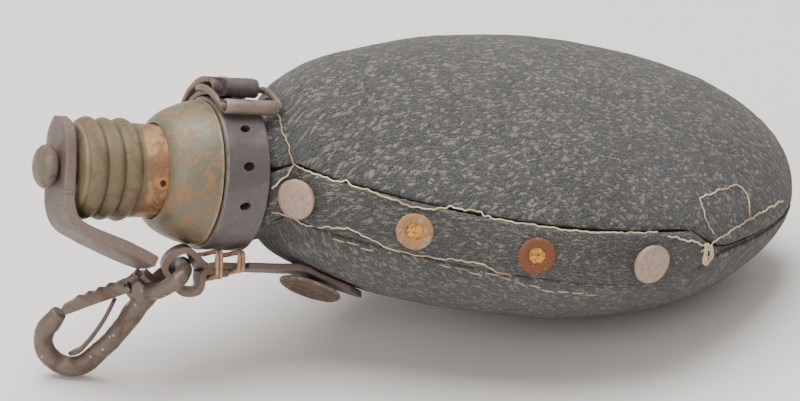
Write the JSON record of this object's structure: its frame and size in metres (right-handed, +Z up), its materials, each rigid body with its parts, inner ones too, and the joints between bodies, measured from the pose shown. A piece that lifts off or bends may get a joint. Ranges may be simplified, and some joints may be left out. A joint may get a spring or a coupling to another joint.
{
  "type": "canteen",
  "caption": "Flat oval metal flask in a press-studded wool cover, with a ribbed screw cap, leather straps, a roller buckle and a snap hook.",
  "frame": {"origin": "centre of the part's bounding box in plan, at the level of the ground it lies on", "axes": "+X from the cap to the bottom end of the flask, -Y the side with the press studs, +Z up; the neck end is tipped up 12 degrees, propped on the hook"},
  "size_m": [0.2372, 0.1314, 0.0862],
  "materials": {
    "wool": "felted tweed",
    "flask_enamel": "worn enamel",
    "collar_enamel": "chipped enamel",
    "cap_enamel": "worn enamel",
    "seal": "matt",
    "brown_leather": "cracked",
    "dark_leather": "waxed",
    "copper_wire": "tarnished",
    "stud_metal": "tarnished plating",
    "rusted_steel": "rusted"
  },
  "bodies": {
    "flask": {"back_strap": "dark_leather", "buckle_chape": "dark_leather", "cap_strap_run": "brown_leather", "chape_rivet": "rusted_steel", "cover_bottom_panel": "wool", "cover_top_panel": "wool", "disc_rivet": "rusted_steel", "flask_neck": "flask_enamel", "flask_shell": "flask_enamel", "hook_loop": "brown_leather", "loop_binding_1": "copper_wire", "loop_binding_2": "copper_wire", "neck_collar": "collar_enamel", "neck_strap": "dark_leather", "stud_post_1": "stud_metal", "stud_post_2": "stud_metal", "stud_post_3": "stud_metal", "stud_post_4": "stud_metal"},
    "strap_head": {"cap_strap_head": "brown_leather"},
    "cap": {"screw_cap": "cap_enamel", "cap_seal": "seal", "cap_stud": "rusted_steel"},
    "hook": {"hook_body": "rusted_steel", "gate_pin": "rusted_steel", "gate_spring": "rusted_steel"},
    "gate": {"hook_gate": "rusted_steel"},
    "buckle": {"buckle_frame": "rusted_steel"},
    "roller": {"buckle_roller": "rusted_steel"},
    "flap": {"stud_flap": "wool", "stud_cap_1": "stud_metal", "stud_cap_4": "stud_metal", "stud_socket_1": "stud_metal", "stud_socket_2": "stud_metal", "stud_socket_3": "stud_metal", "stud_socket_4": "stud_metal"}
  },
  "joints": [
    {"name": "cap_lift", "type": "slide", "parent": "flask", "child": "strap_head", "axis": [-0.9777, 0, 0.2101], "range_m": [0, 0.0104], "deforming": ["cap_strap_run"]},
    {"name": "cap_turn", "type": "hinge", "parent": "strap_head", "child": "cap", "pos_m": [-0.04863, 0.00101, 0.05502], "axis": [-0.9777, 0, 0.2101], "range_deg": [0, 720]},
    {"name": "hook_swing", "type": "hinge", "parent": "flask", "child": "hook", "pos_m": [-0.07979, -0.01299, 0.03758], "axis": [-0.2769, -0.9263, 0.2556], "range_deg": [-8, 28]},
    {"name": "gate_swing", "type": "hinge", "parent": "hook", "child": "gate", "pos_m": [-0.09298, -0.00485, 0.03122], "axis": [-0.5255, -0.8508, 0], "range_deg": [0, 20], "stiffness_Nm_per_rad": 0.005, "springref_deg": -17.19, "deforming": ["gate_spring"]},
    {"name": "buckle_tilt", "type": "hinge", "parent": "flask", "child": "buckle", "pos_m": [-0.05714, 0.01213, 0.07918], "axis": [-0.9777, 0, 0.2101], "range_deg": [0, 40]},
    {"name": "roller_spin", "type": "hinge", "parent": "buckle", "child": "roller", "pos_m": [-0.05602, -0.00615, 0.08058], "axis": [0.9777, 0, -0.2101], "continuous": true},
    {"name": "flap_unsnap", "type": "slide", "parent": "flask", "child": "flap", "axis": [-0.3304, -0.9439, 0], "range_m": [0, 0.006]}
  ],
  "couplings": [
    {"joint": "cap_lift", "follows": "cap_turn", "m_per_rad": 0.00082761}
  ]
}
